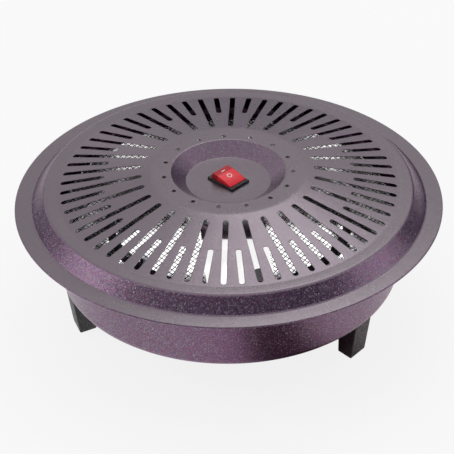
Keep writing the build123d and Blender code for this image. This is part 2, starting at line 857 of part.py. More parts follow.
def switch_rocker():
    """The red rocker: two faces that meet in a crease, round ends, a hollow inside and pivot pins."""
    rise = math.tan(math.radians(rocker_half_swing))
    face_end = rocker_crease_height + rocker_reach * rise
    side = profile([
        (-rocker_reach, -rocker_skirt),
        (rocker_reach, -rocker_skirt),
        (rocker_reach, face_end),
        (0, rocker_crease_height),
        (-rocker_reach, face_end),
    ])
    body = extrude(side, amount=rocker_width / 2, both=True)
    drum = Cylinder(rocker_reach, rocker_width, rotation=(90, 0, 0))
    body = body & drum
    lowest = rocker_crease_height + rocker_edge_chamfer
    crown_edges = body.edges().filter_by(lambda edge: edge.center().Z > lowest)
    body = chamfer(crown_edges, rocker_edge_chamfer)
    hollow = profile([
        (-rocker_reach + rocker_wall, -rocker_skirt - cut_overrun),
        (rocker_reach - rocker_wall, -rocker_skirt - cut_overrun),
        (rocker_reach - rocker_wall, face_end - rocker_wall - rocker_end_relief),
        (0, rocker_crease_height - rocker_wall),
        (-rocker_reach + rocker_wall, face_end - rocker_wall - rocker_end_relief),
    ])
    body -= extrude(hollow, amount=rocker_width / 2 - rocker_wall, both=True)
    stem = rod(stem_diameter, -stem_length, rocker_crease_height - rocker_wall + stem_root)
    stem = punched(stem, [hole(plunger_diameter + 2 * running_clearance)], -stem_length, plunger_bore_end)
    pin_reach = rocker_width / 2 + pivot_pin_length
    pins = Rot(90, 0, 0) * rod(pivot_pin_diameter, -pin_reach, pin_reach, hole_flats)
    pins -= Box(rocker_reach, rocker_width - rocker_wall, rocker_reach)
    return at_rest(body + stem + pins)


def rocker_plunger():
    """The sprung pin in the rocker's stem that pushes the contact arm over."""
    pin = rod(plunger_diameter, -plunger_reach, plunger_bore_end - running_clearance)
    return at_rest(chamfer(pin.faces().sort_by(Axis.Z)[0].edges(), plunger_diameter / 4))


def contact_arm():
    """The see-saw strip that the plunger tips, on a round bar that lies in the middle terminal."""
    underside = arm_pivot_diameter / 2 - arm_sheet / 2
    strip = block(arm_length, arm_width, underside, underside + arm_sheet)
    strip += Rot(90, 0, 0) * rod(arm_pivot_diameter, -arm_width / 2, arm_width / 2, hole_flats)
    contact = rod(contact_diameter, underside - contact_height, underside)
    strip += Pos((arm_length - contact_diameter) / 2, 0) * contact
    tilt = -arm_ratio * rocker_half_swing
    return on_switch(0, 0, -arm_depth) * Rot(0, tilt, 0) * strip


def switch_terminals():
    """Three blades through the switch's floor: the middle one cradles the contact arm."""
    low = housing_underside - pivot_level - blade_length
    floor_top = housing_floor - pivot_level
    middle = block(blade_sheet, blade_width, low, floor_top)
    middle += block(arm_pivot_diameter + 2 * cradle_wall, blade_width, floor_top, -arm_depth)
    cradle = hole(arm_pivot_diameter + 2 * running_clearance, hole_flats)
    middle -= Pos(0, 0, -arm_depth) * Rot(90, 0, 0) * extrude(cradle, amount=blade_width / 2, both=True)
    plain = block(blade_sheet, blade_width, low, floor_top)
    plain += block(terminal_pad_length, blade_width, floor_top, floor_top + blade_sheet)
    arm_drop = arm_length / 2 * math.sin(math.radians(arm_ratio * rocker_half_swing))
    live = plain + rod(contact_diameter, floor_top, -arm_depth - arm_drop - running_clearance)
    blades = [middle, Pos(-terminal_spacing, 0) * plain, Pos(terminal_spacing, 0) * live]
    return group([on_switch() * blade for blade in blades])


def neon_lamp():
    """The lamp that lights the red rocker from below."""
    across = switch_cavity_width / 2 - lamp_diameter / 2 - lamp_side_gap
    body = Pos(0, -across, housing_floor - pivot_level + lamp_diameter / 2)
    return on_switch() * body * Rot(0, 90, 0) * rod(lamp_diameter, -lamp_length / 2, lamp_length / 2)


# Supply side


def reflector_bush():
    """The ceramic bush that takes two leads through the reflector's floor."""
    high = reflector_top + bush_flange_height
    bush = rod(bush_body_diameter, reflector_top - bush_height, reflector_top)
    bush += rod(bush_flange_diameter, reflector_top, high)
    return on_wiring(bush_distance) * punched(bush, [hole(bush_bore)], reflector_top - bush_height, high)


def terminal_block():
    """The ceramic block on the pan's panel: two bores for the leads and a screw hole between them."""
    body = block(block_width, block_length, panel_top, panel_top + block_height)
    body = chamfer(body.edges().filter_by(Axis.Z), block_edge_chamfer)
    bore = Rot(0, 90, 0) * rod(block_bore, -block_width / 2, block_width / 2)
    for pole in pole_offsets():
        body -= Pos(0, pole, block_bore_level()) * bore
        body -= Pos(0, pole) * rod(block_bore, block_bore_level(), panel_top + block_height)
    screw_hole = hole(screw_diameter + screw_hole_clearance)
    return on_wiring(block_distance) * punched(body, [screw_hole], panel_top, panel_top + block_height)


def pole_offsets():
    return [-block_pole_spacing / 2, block_pole_spacing / 2]


def block_bore_level():
    return panel_top + block_height / 2


def block_screw():
    length = block_height + pan_sheet + nut_height
    return on_wiring(block_distance, 0, panel_top + block_height) * screw(length)


def block_nut():
    fixing = nut(nut_across_flats, screw_diameter, panel_underside - nut_height, panel_underside)
    return on_wiring(block_distance) * fixing


def pole_screws():
    """The clamp screws of the two poles, down to the leads in their bores."""
    low = block_bore_level() + lead_diameter / 2
    pin = rod(pole_screw_diameter, low, panel_top + block_height - pole_screw_sink)
    return group([on_wiring(block_distance, pole) * pin for pole in pole_offsets()])


def earth_screw():
    length = tag_sheet + pan_sheet + nut_height + screw_tail
    return on_wiring(earth_distance, earth_offset, panel_top + tag_sheet) * screw(length)


def earth_nut():
    fixing = nut(nut_across_flats, screw_diameter, panel_underside - nut_height, panel_underside)
    return on_wiring(earth_distance, earth_offset) * fixing


def earth_tag():
    """The ring tag under the earth screw's head, with its crimped barrel towards the block."""
    ring = rod(tag_ring_diameter, panel_top, panel_top + tag_sheet)
    neck = Pos(0, -tag_reach / 2) * block(tag_barrel_bore, tag_reach, panel_top, panel_top + tag_sheet)
    barrel_level = panel_top + tag_barrel_bore / 2 + tag_sheet
    barrel = Plane.XZ * (hole(tag_barrel_bore + 2 * tag_sheet) - hole(tag_barrel_bore))
    barrel = Pos(0, -tag_reach, barrel_level) * extrude(barrel, amount=tag_barrel_length)
    screw_hole = hole(screw_diameter + 2 * running_clearance)
    tag = punched(ring + neck + barrel, [screw_hole], panel_top, panel_top + tag_sheet)
    return on_wiring(earth_distance, earth_offset) * tag


def cord_gland():
    """The bush that brings the mains cord up through the pan's floor; the cord itself is left out."""
    low = pan_underside - gland_flange_height
    high = pan_floor + gland_nut_height + gland_tail
    gland = rod(gland_body_diameter, pan_underside, high, 2 * hole_flats)
    gland += rod(gland_flange_diameter, low, pan_underside, 2 * hole_flats)
    gland -= column(gland_bore, low, high)
    return on_wiring(gland_distance) * gland


def gland_nut():
    """The nut that draws the gland up to the pan's floor."""
    high = pan_floor + gland_nut_height
    bore = hole(gland_body_diameter + 2 * running_clearance, hole_flats)
    fixing = punched(hexagon(gland_nut_across_flats, pan_floor, high), [bore], pan_floor, high)
    return on_wiring(gland_distance) * fixing


def terminal_tip(along):
    """The foot of one switch terminal as distance and offset in the channel's own frame."""
    tip = Vector(along, 0).rotate(Axis.Z, switch_azimuth - wiring_azimuth)
    return tip.X, tip.Y


def lead_paths():
    """The leads as corner points in the channel's own frame: distance, offset and level."""
    pole = block_pole_spacing / 2
    block_side = block_distance - block_width / 2 - lead_slack
    bush_low = reflector_top - bush_height - lead_slack
    bush_high = reflector_top + bush_flange_height + lead_slack
    inner_blade = cutout_distance - blade_spacing / 2
    outer_blade = cutout_distance + blade_spacing / 2
    cutout_low = channel_top - cutout_body_depth - blade_length
    cutout_turn = cutout_low - lead_slack
    pin_tip = element_end_radius - pin_length
    pin_turn = pin_tip - 2 * lead_slack
    pin_offset = element_end_offset()
    switch_low = housing_underside - blade_length
    live_tip = terminal_tip(terminal_spacing)
    arm_tip = terminal_tip(0)
    lamp_tip = terminal_tip(-terminal_spacing)
    return {
        "supply_lead": [
            (block_distance, pole, block_bore_level()),
            (block_side, pole, block_bore_level()),
            (bush_distance, bush_lead_offset, bush_low),
            (bush_distance, bush_lead_offset, bush_high),
            (bush_distance, bush_lead_offset, lead_level),
            (cutout_lane_end, supply_lane, lead_level),
            (inner_blade - lead_turn_run, cutout_offset, cutout_turn),
            (inner_blade, cutout_offset, cutout_turn),
            (inner_blade, cutout_offset, cutout_low),
        ],
        "cutout_lead": [
            (outer_blade, cutout_offset, cutout_low),
            (outer_blade, cutout_offset, cutout_turn),
            (inner_blade, cutout_lane, cutout_turn),
            (cutout_lane_end, cutout_lane, lead_level),
            (pin_turn, cutout_lane, lead_level),
            (shield_width / 2, outer_window_lane, lead_level),
            (*live_tip, lead_level),
            (*live_tip, switch_low),
        ],
        "element_lead": [
            (*arm_tip, switch_low),
            (*arm_tip, lead_level),
            (shield_width / 2, inner_window_lane, lead_level),
            (guard_inner_radius, inner_window_lane, lead_level),
            (pin_turn, pin_offset, element_level),
            (pin_tip, pin_offset, element_level),
        ],
        "return_lead": [
            (pin_tip, -pin_offset, element_level),
            (pin_turn, -pin_offset, element_level),
            (bush_distance, -bush_lead_offset, bush_high),
            (bush_distance, -bush_lead_offset, bush_low),
            (block_side, -pole, block_bore_level()),
            (block_distance, -pole, block_bore_level()),
        ],
        "lamp_lead": [
            (*lamp_tip, switch_low),
            (*lamp_tip, lead_level),
            (shield_width / 2, -outer_window_lane, lead_level),
            (guard_inner_radius, -outer_window_lane, lead_level),
            (pin_tip - lead_slack, -pin_offset, element_level + 2 * lead_slack),
            (pin_tip - lead_slack, -pin_offset, element_level + lead_diameter / 2),
        ],
    }


def lead(corners):
    """A lead in straight runs through its corner points."""
    return on_wiring(0) * tube_along(Polyline(*corners), lead_diameter)


parts = {
    "body_pan": body_pan(),
    "grille_cover": grille_cover(),
    "rim_studs": rim_studs(),
    "rim_nuts": rim_nuts(),
    "foot_screws": foot_screws(),
    "foot_nuts": foot_nuts(),
    "reflector_dish": reflector_dish(),
    "reflector_posts": reflector_posts(),
    "post_screws_lower": post_screws_lower(),
    "post_screws_upper": post_screws_upper(),
    "heating_ring": heating_ring(),
    "element_beads": element_beads(),
    "element_pins": element_pins(),
    "element_clips": element_clips(),
    "clip_rivets": clip_rivets(),
    "guard_mesh": guard_mesh(),
    "guard_rivets": guard_rivets(),
    "wiring_channel": wiring_channel(),
    "channel_rivets": channel_rivets(),
    "thermal_cutout": thermal_cutout(),
    "cutout_blades": cutout_blades(),
    "switch_shield": switch_shield(),
    "shield_studs": shield_studs(),
    "shield_nuts": shield_nuts(),
    "switch_housing": switch_housing(),
    "switch_rocker": switch_rocker(),
    "rocker_plunger": rocker_plunger(),
    "contact_arm": contact_arm(),
    "switch_terminals": switch_terminals(),
    "neon_lamp": neon_lamp(),
    "reflector_bush": reflector_bush(),
    "terminal_block": terminal_block(),
    "block_screw": block_screw(),
    "block_nut": block_nut(),
    "pole_screws": pole_screws(),
    "earth_screw": earth_screw(),
    "earth_nut": earth_nut(),
    "earth_tag": earth_tag(),
    "cord_gland": cord_gland(),
    "gland_nut": gland_nut(),
}
for name, azimuth in foot_azimuths.items():
    parts[name] = foot(azimuth)
for name, corners in lead_paths().items():
    parts[name] = lead(corners)

for name, shape in parts.items():
    export_step(shape, f"parts/{name}.step")
print(len(parts), "parts written")
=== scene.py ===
# %% [markdown]
# # An electric brazier, from its frame to its finish
# The brazier is a round heater that stands on the floor or hangs in the ring of a round table.
# Its parts come from a CAD model, packed as a fixed frame. This lesson gives each visible part
# the shape and the finish that the real one has: pressed and painted steel, a bright reflector
# with a net over it, a moulded rocker switch and three moulded feet.

import json
import math

import bmesh
import bpy
from bmesh.types import BMEdge, BMVert
from mathutils import Matrix, Vector


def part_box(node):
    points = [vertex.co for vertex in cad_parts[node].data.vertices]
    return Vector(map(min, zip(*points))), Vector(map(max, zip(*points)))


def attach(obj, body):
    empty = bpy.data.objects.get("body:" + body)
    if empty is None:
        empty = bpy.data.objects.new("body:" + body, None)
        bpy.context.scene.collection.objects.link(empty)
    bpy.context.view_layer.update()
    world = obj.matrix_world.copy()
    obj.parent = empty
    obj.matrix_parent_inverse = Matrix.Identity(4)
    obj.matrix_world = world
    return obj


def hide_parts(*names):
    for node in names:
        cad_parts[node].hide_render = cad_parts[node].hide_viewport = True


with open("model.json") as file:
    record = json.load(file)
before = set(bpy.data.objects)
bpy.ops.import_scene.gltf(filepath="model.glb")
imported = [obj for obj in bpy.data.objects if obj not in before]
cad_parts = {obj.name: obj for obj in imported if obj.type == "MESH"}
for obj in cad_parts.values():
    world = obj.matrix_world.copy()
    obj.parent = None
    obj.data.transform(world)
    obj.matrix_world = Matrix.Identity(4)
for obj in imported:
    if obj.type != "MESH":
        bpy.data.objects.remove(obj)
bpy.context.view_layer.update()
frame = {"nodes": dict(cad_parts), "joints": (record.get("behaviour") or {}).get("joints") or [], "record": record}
MM = 0.001

# %% [markdown]
# ## The camera
# The object is seen from the front and a third of the way up to straight above, from far away
# through a long lens, so that the round cover looks like a clean ellipse. The lens follows from
# how wide the cover looks in a square picture. The horizon is tipped by less than a degree.

# %% Place the camera
camera_place = Vector((0, -1660.98, 1223.09)) * MM
camera_target = Vector((-1.78, -47.45, 109)) * MM
camera_roll = math.radians(-0.78)
camera_data = bpy.data.cameras.new("camera")
camera_data.lens = 169.3
camera_data.sensor_width = 36
camera = bpy.data.objects.new("camera", camera_data)
bpy.context.scene.collection.objects.link(camera)
bpy.context.scene.camera = camera
aim = (camera_place - camera_target).to_track_quat("Z", "Y").to_matrix()
camera.location = camera_place
camera.rotation_euler = (aim @ Matrix.Rotation(camera_roll, 3, "Z")).to_euler()
bpy.context.scene.view_settings.view_transform = "Standard"
print("camera at", [round(value, 3) for value in camera.location])

# %% [markdown]
# ## Writing a material as sums
# A shader is a web of nodes, which is hard to read as a list of links. A small class wraps one
# output socket, so that a product or a difference written in Python adds the Math nodes itself.
# Any other node comes from one method that takes its kind, its settings and its inputs.

# %% Sockets that can be added and multiplied
class Port:
    """One output socket. Arithmetic on it adds Math nodes to the tree that it belongs to."""

    def __init__(self, tree, socket):
        self.tree = tree
        self.socket = socket

    def __add__(self, other):
        return self.tree.maths("ADD", self, other)

    def __rsub__(self, other):
        return self.tree.maths("SUBTRACT", other, self)

    def __mul__(self, other):
        return self.tree.maths("MULTIPLY", self, other)

    def __gt__(self, other):
        return self.tree.maths("GREATER_THAN", self, other)

    def __lt__(self, other):
        return self.tree.maths("LESS_THAN", self, other)

    __radd__ = __add__
    __rmul__ = __mul__


# %% [markdown]
# ## A tree of nodes, and a finish
# One class adds nodes to any tree, for a material as well as for the light around the object. A
# finish is such a tree for one material. It starts from a place on the object in metres, so a
# grain has its true size on each piece, and needs no unwrapping. Noise gives clouds and grain,
# Voronoi cells give flakes, and a bump or a tilt moves the normal without moving the surface.

# %% Node trees and finishes
def linear(red, green, blue):
    """A colour given as it looks on a screen, 0 to 255, as the linear values that a shader takes."""
    return (*(((value / 255 + 0.055) / 1.055) ** 2.4 for value in (red, green, blue)), 1)


class NodeTree:
    """A node tree that is being written."""

    def __init__(self, tree):
        self.tree = tree

    def node(self, kind, settings=None, inputs=None, output=0):
        node = self.tree.nodes.new("ShaderNode" + kind)
        for name, value in (settings or {}).items():
            if name == "stops":
                self.set_stops(node.color_ramp, value)
            else:
                setattr(node, name, value)
        for key, value in (inputs or {}).items():
            if isinstance(value, Port):
                self.tree.links.new(value.socket, node.inputs[key])
            else:
                node.inputs[key].default_value = value
        return Port(self, node.outputs[output])

    def set_stops(self, ramp, stops):
        while len(ramp.elements) < len(stops):
            ramp.elements.new(1)
        for element, (position, colour) in zip(ramp.elements, stops):
            element.position = position
            element.color = colour

    def maths(self, operation, first, second):
        return self.node("Math", {"operation": operation}, {0: first, 1: second})

    def vector(self, operation, first, second=None, output="Vector"):
        inputs = {0: first} if second is None else {0: first, 1: second}
        return self.node("VectorMath", {"operation": operation}, inputs, output)

    def mix(self, factor, first, second):
        settings = {"data_type": "RGBA"}
        return self.node("Mix", settings, {0: factor, 6: first, 7: second}, 2)


class Finish(NodeTree):
    """A material that is being written."""

    def __init__(self, name):
        self.material = bpy.data.materials.new(name)
        self.material.use_nodes = True
        super().__init__(self.material.node_tree)
        self.tree.nodes.clear()
        self.output = self.tree.nodes.new("ShaderNodeOutputMaterial")
        self.place = self.node("TexCoord", output="Object")

    def noise(self, grain, detail=2, place=None):
        """Even noise from 0 to 1 whose blotches are about as wide as the grain, in millimetres."""
        inputs = {"Vector": place or self.place, "Scale": 1 / (grain * MM), "Detail": detail}
        return self.node("TexNoise", {}, inputs, "Fac")

    def flakes(self, grain):
        """A random colour for each cell, about as wide as the grain, in millimetres."""
        inputs = {"Vector": self.place, "Scale": 1 / (grain * MM)}
        return self.node("TexVoronoi", {}, inputs, "Color")

    def chance(self, flakes):
        """A random value from 0 to 1 for each flake."""
        return self.node("TexWhiteNoise", {}, {"Vector": flakes}, "Value")

    def surface_normal(self):
        """The surface's own normal, before any flake or bump."""
        return self.node("NewGeometry", output="Normal")

    def steepness(self, gain):
        """0 on a level face that looks up, rising to 1 as the face stands up."""
        facing = self.vector("DOT_PRODUCT", self.surface_normal(), (0, 0, 1), "Value")
        return self.maths("MINIMUM", (1 - facing) * gain, 1)

    def tilted(self, flakes, amount):
        """The surface's normal with each flake lying a little askew."""
        askew = self.vector("SUBTRACT", flakes, (0.5, 0.5, 0.5))
        askew = self.vector("MULTIPLY", askew, amount)
        return self.vector("NORMALIZE", self.vector("ADD", self.surface_normal(), askew))

    def bump(self, height, depth, normal=None):
        """A bump whose height from 0 to 1 stands for a depth in millimetres."""
        inputs = {"Height": height, "Distance": depth * MM}
        if normal:
            inputs["Normal"] = normal
        return self.node("Bump", {}, inputs, "Normal")

    def shade(self, inputs):
        """Finishes the material with a Principled shader and returns it."""
        shader = self.node("BsdfPrincipled", {}, inputs, "BSDF")
        self.tree.links.new(shader.socket, self.output.inputs["Surface"])
        print(self.material.name + ":", len(self.tree.nodes), "nodes")
        return self.material


# %% [markdown]
# ## The paint
# The pan and the cover share one stove paint: a dark metallic grey with a purple cast. Metal
# flakes float in it. On level faces they lie nearly flat, and the paint looks even. On steep
# faces they lie askew, and single ones catch the light and sparkle. There the colour also holds
# painted shade and a painted glint: a share of the flakes is coloured darker violet or wine, and
# the glinting ones paler. A picture of such paint would have to be unwrapped onto each piece. A
# fine Voronoi pattern needs no unwrapping: each cell is a flake, with a painted tint and a tilt
# that grow with the steepness.

# %% Paint for pan and cover
def sprayed_paint():
    finish = Finish("casing_paint")
    flakes = finish.flakes(grain=0.5)
    chance = finish.chance(flakes)
    steep = finish.steepness(gain=3)
    shaded_violet_share, shaded_wine_share, glint_share = 0.45, 0.2, 0.12
    glints = chance < glint_share
    grey = finish.mix(finish.noise(grain=60, detail=1), linear(123, 114, 120), linear(117, 110, 116))
    # Painted shade: a share of the flakes on steep faces is coloured a darker violet and wine.
    shaded_violet = finish.mix((chance > 1 - shaded_violet_share) * steep, grey, linear(104, 78, 122))
    shaded_wine = finish.mix((chance > 1 - shaded_wine_share) * steep, shaded_violet, linear(140, 80, 108))
    lying_tilt, steep_tilt, glint_tilt = 0.1, 0.06, 0.5
    tilt = lying_tilt + steep * (steep_tilt + glint_tilt * glints)
    orange_peel = finish.noise(grain=2.4)
    return finish.shade({
        # Painted glint: the glinting flakes on steep faces are coloured paler as well as tilted.
        "Base Color": finish.mix(glints * steep, shaded_wine, linear(164, 156, 168)),
        "Metallic": 0.85,
        "Roughness": 0.25 + 0.06 * finish.noise(grain=12),
        "Normal": finish.bump(orange_peel, 0.008, normal=finish.tilted(flakes, tilt)),
    })


paint = sprayed_paint()

# %% [markdown]
# ## Bright and plated metal
# The reflector and the wiring channel are bright sheet, rolled in one direction, so they carry a
# fine brushed grain. Screws and nuts are plated in zinc, which is duller and slightly blue, and
# the switch's contacts are brass. One function writes all three, because they differ only in
# colour, grain and how clearly they mirror.

# %% Bright sheet, zinc and brass
def rolled_metal(name, light, dark, roughness, grain):
    finish = Finish(name)
    stretched = finish.node("Mapping", {}, {"Vector": finish.place, "Scale": (1, 12, 12)})
    brushed = finish.noise(grain * 4, detail=3, place=stretched)
    stain = finish.noise(grain=18)
    return finish.shade({
        "Base Color": finish.mix(stain, light, dark),
        "Metallic": 1,
        "Roughness": roughness + 0.08 * brushed * stain,
        "Normal": finish.bump(brushed, depth=0.006),
    })


bright_sheet = rolled_metal(
    "bright_reflector", linear(253, 253, 252), linear(246, 246, 246), roughness=0.11, grain=1.5,
)
zinc = rolled_metal(
    "zinc_steel", linear(198, 203, 210), linear(168, 172, 182), roughness=0.3, grain=0.6,
)
brass = rolled_metal(
    "brass_contact", linear(214, 178, 96), linear(186, 148, 74), roughness=0.28, grain=0.8,
)

# %% [markdown]
# ## Dark heated metal
# The element is a steel tube that has gone dark in use, with paler blotches of scale on it. The
# net over it is dark, oxidised wire. Both are more oxide than metal, so they hardly mirror.

# %% Element and net
def oxidised(name, dark, light, roughness):
    finish = Finish(name)
    scale = finish.noise(grain=3.5, detail=4)
    haze = finish.noise(grain=26)
    return finish.shade({
        "Base Color": finish.mix(scale * haze, dark, light),
        "Metallic": 0.3,
        "Roughness": roughness + 0.25 * scale,
        "Normal": finish.bump(scale, depth=0.03),
    })


element_steel = oxidised("element_tube", linear(16, 15, 14), linear(78, 72, 64), roughness=0.42)
dark_wire = oxidised("dark_mesh", linear(8, 8, 8), linear(26, 24, 26), roughness=0.6)

# %% [markdown]
# ## Mouldings
# The feet, the switch frame and the cut-out's cap are black plastic with a spark-eroded grain,
# whose pits glint. The marks on the rocker are white print. Small pieces inside are white plastic,
# glazed ceramic, glass or woven sleeve. One function serves them all, because each is one colour
# with a slight scuff, a gloss and a grain of its own.

# %% Plastics, ceramic and glass
def moulded(name, light, dark, roughness, grain, depth, coat=0.0, glint=0.0):
    finish = Finish(name)
    pits = finish.noise(grain, detail=3)
    scuff = finish.noise(grain=14, detail=3)
    glinting = finish.tilted(finish.flakes(grain), (glint, glint, glint)) if glint else None
    return finish.shade({
        "Base Color": finish.mix(scuff, dark, light),
        "Roughness": roughness + 0.16 * scuff,
        "Coat Weight": coat,
        "Coat Roughness": 0.08,
        "Normal": finish.bump(pits, depth, glinting),
    })


black_plastic = moulded(
    "black_moulding", linear(28, 25, 27), linear(12, 11, 12),
    roughness=0.36, grain=0.9, depth=0.06, glint=0.7,
)
white_plastic = moulded(
    "white_moulding", linear(232, 230, 224), linear(214, 211, 203),
    roughness=0.4, grain=2, depth=0.02,
)
white_print = moulded(
    "printed_mark", linear(246, 240, 236), linear(236, 226, 222),
    roughness=0.5, grain=0.5, depth=0.01,
)
ceramic = moulded(
    "ceramic", linear(228, 221, 205), linear(204, 196, 178), roughness=0.3, grain=1.5, depth=0.03,
)
lamp_glass = moulded(
    "lamp_glass", linear(238, 150, 120), linear(222, 126, 96),
    roughness=0.1, grain=4, depth=0.01, coat=1.0,
)
woven_sleeve = moulded(
    "lead_sleeve", linear(226, 222, 210), linear(188, 182, 168),
    roughness=0.6, grain=0.5, depth=0.08,
)

# %% [markdown]
# ## Clear red
# The rocker is clear red plastic over a lamp. Its colour holds painted highlight and shade: it
# is paler and pinker over most of its top, where the light catches it, and deep crimson at its
# inner end, which lies in shade at rest, so its colour changes along the switch. A tinted
# reflection keeps the gloss red, as light that comes back out of a clear red body does.

# %% Red for the rocker
switch_azimuth = -45.0
# Painted highlight: the top turns pale coral from this distance inside the middle outwards, over this fade.
highlight_start, highlight_fade = 5.0, 2.0


def clear_red():
    finish = Finish("red_rocker")
    azimuth = math.radians(switch_azimuth)
    outwards = (math.cos(azimuth) / MM, math.sin(azimuth) / MM, 0)
    along = finish.vector("DOT_PRODUCT", finish.place, outwards, "Value")
    above = finish.maths("MAXIMUM", (along + highlight_start) * (1 / highlight_fade), 0)
    painted_highlight = finish.maths("MINIMUM", above, 1)
    cloud = finish.noise(grain=6)
    highlight_red = finish.mix(cloud, linear(246, 44, 58), linear(232, 22, 40))
    return finish.shade({
        # Painted shade: deep crimson at the inner end, painted highlight in pale coral elsewhere.
        "Base Color": finish.mix(painted_highlight, linear(176, 4, 18), highlight_red),
        "Roughness": 0.2 + 0.1 * cloud,
        "Specular Tint": (1, 0.5, 0.52, 1),
        "Normal": finish.bump(cloud, depth=0.01),
    })


red_plastic = clear_red()

# %% [markdown]
# ## Dressing the CAD nodes
# The record says which nodes share a finish. Every node gets it now, so the pieces that keep
# their CAD shape are done, and the ones that are modelled again below only hide theirs.

# %% Give every node its finish
finishes = {
    "casing_paint": paint,
    "zinc_steel": zinc,
    "bright_reflector": bright_sheet,
    "element_tube": element_steel,
    "dark_mesh": dark_wire,
    "black_moulding": black_plastic,
    "red_rocker": red_plastic,
    "white_moulding": white_plastic,
    "ceramic": ceramic,
    "brass_contact": brass,
    "lamp_glass": lamp_glass,
    "lead_sleeve": woven_sleeve,
}
slot_of = {part["node"]: part["material_slot"] for part in frame["record"]["subparts"]}
for name, node in frame["nodes"].items():
    node.data.materials.clear()
    node.data.materials.append(finishes[slot_of[name]])
print("dressed:", len(frame["nodes"]), "nodes in", len(finishes), "finishes")

# %% [markdown]
# ## From a line to a turned sheet
# Most of the brazier is spun or pressed round sheet, so most pieces start as a line of corners,
# given as radius and level. A vertex bevel rounds each corner, as a press tool does, a spin turns
# the line into a skin, and a solidify gives the skin its thickness.

# %% Helpers for turned sheet
TURN_STEPS = 240
ARC_STEPS = 5


def about_z(degrees, size=3):
    """A turn round Z, as a matrix."""
    return Matrix.Rotation(math.radians(degrees), size, "Z")


def turn_round(bm, degrees, verts=None):
    """Turns a whole mesh, or some of its vertices, round Z."""
    bmesh.ops.rotate(bm, verts=verts or bm.verts[:], matrix=about_z(degrees))


def lift(bm, level):
    """Moves a mesh up by a level in millimetres."""
    bmesh.ops.translate(bm, verts=bm.verts[:], vec=(0, 0, level * MM))


def everything(bm):
    """All of a mesh, as the operators take it."""
    return bm.verts[:] + bm.edges[:] + bm.faces[:]


def wire(bm, corners, rounds):
    """A line through (radius, level) corners in millimetres. Each inner corner has its radius."""
    verts = [bm.verts.new((radius * MM, 0, level * MM)) for radius, level in corners]
    for pair in zip(verts, verts[1:]):
        bm.edges.new(pair)
    places = [vert.co.copy() for vert in verts]
    inner = zip(places, places[1:], places[2:], verts[1:], rounds)
    for before, corner, after, vert, radius in inner:
        if radius:
            half_angle = (before - corner).angle(after - corner) / 2
            bmesh.ops.bevel(
                bm, geom=[vert], offset=radius * MM / math.tan(half_angle), offset_type="OFFSET",
                segments=ARC_STEPS, profile=0.5, affect="VERTICES", material=-1,
            )


def turned(corners, rounds, start=0.0):
    """A skin that a line of corners sweeps round Z."""
    bm = bmesh.new()
    wire(bm, corners, rounds)
    turn_round(bm, start)
    bmesh.ops.spin(
        bm, geom=everything(bm), axis=(0, 0, 1), cent=(0, 0, 0),
        angle=math.tau, steps=TURN_STEPS, use_merge=True,
    )
    return bm


def added(bm, *others):
    """The meshes of several bmeshes in one."""
    for other in others:
        mesh = bpy.data.meshes.new("part")
        other.to_mesh(mesh)
        bm.from_mesh(mesh)
        bpy.data.meshes.remove(mesh)
        other.free()
    return bm


def welded(bm, upwards=True):
    """Welds the seams of a skin and turns all its faces up, or all down."""
    bmesh.ops.remove_doubles(bm, verts=bm.verts[:], dist=0.02 * MM)
    bmesh.ops.recalc_face_normals(bm, faces=bm.faces[:])
    balance = sum(face.normal.z * face.calc_area() for face in bm.faces)
    if (balance > 0) != upwards:
        bmesh.ops.reverse_faces(bm, faces=bm.faces[:])
    return bm


# %% [markdown]
# ## Making a piece
# A bmesh becomes an object at the origin with its place in its mesh. Faces are shaded smooth, and
# edges that turn more than a given angle stay sharp. The piece rides on a body of the frame,
# stands for the nodes that it replaces, and takes its finish from their slot.

# %% Helper for finished pieces
def with_wall(made, thickness):
    """Gives a skin its wall, on its back, as a Solidify modifier would, and keeps the result."""
    wall = made.modifiers.new("wall", "SOLIDIFY")
    wall.thickness = thickness * MM
    wall.offset = -1
    bpy.context.view_layer.update()
    skin = made.data
    finished = made.evaluated_get(bpy.context.evaluated_depsgraph_get())
    made.data = bpy.data.meshes.new_from_object(finished)
    made.modifiers.clear()
    bpy.data.meshes.remove(skin)
    made.data.name = made.name


def piece(name, bm, slot, body="casing", stands_for=(), wall=0.0, sharp=35, finish=None):
    mesh = bpy.data.meshes.new(name)
    bm.to_mesh(mesh)
    bm.free()
    mesh.materials.append(finish or finishes[slot])
    made = bpy.data.objects.new(name, mesh)
    bpy.context.scene.collection.objects.link(made)
    if wall:
        with_wall(made, wall)
        mesh = made.data
    mesh.shade_smooth()
    mesh.set_sharp_from_angle(angle=math.radians(sharp))
    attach(made, body)
    if stands_for:
        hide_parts(*stands_for)
    mesh.calc_loop_triangles()
    print(name + ":", len(mesh.loop_triangles), "triangles")


# %% [markdown]
# ## Holes with round ends
# A press punches the slots, and its tool draws their edges down a little. A boolean could cut
# them, but it leaves sharp edges and long thin faces. Here a slot starts as a rectangle whose
# corners are bevelled to half circles. Two insets give it a rolled edge, and the face that is
# left over is thrown away. The sheet round it is then filled between the outlines.

# %% Helpers for punched holes
ROLL_WIDTH = 0.45
ROLL_DEPTH = 0.25
SHEET_CELL = 7.0


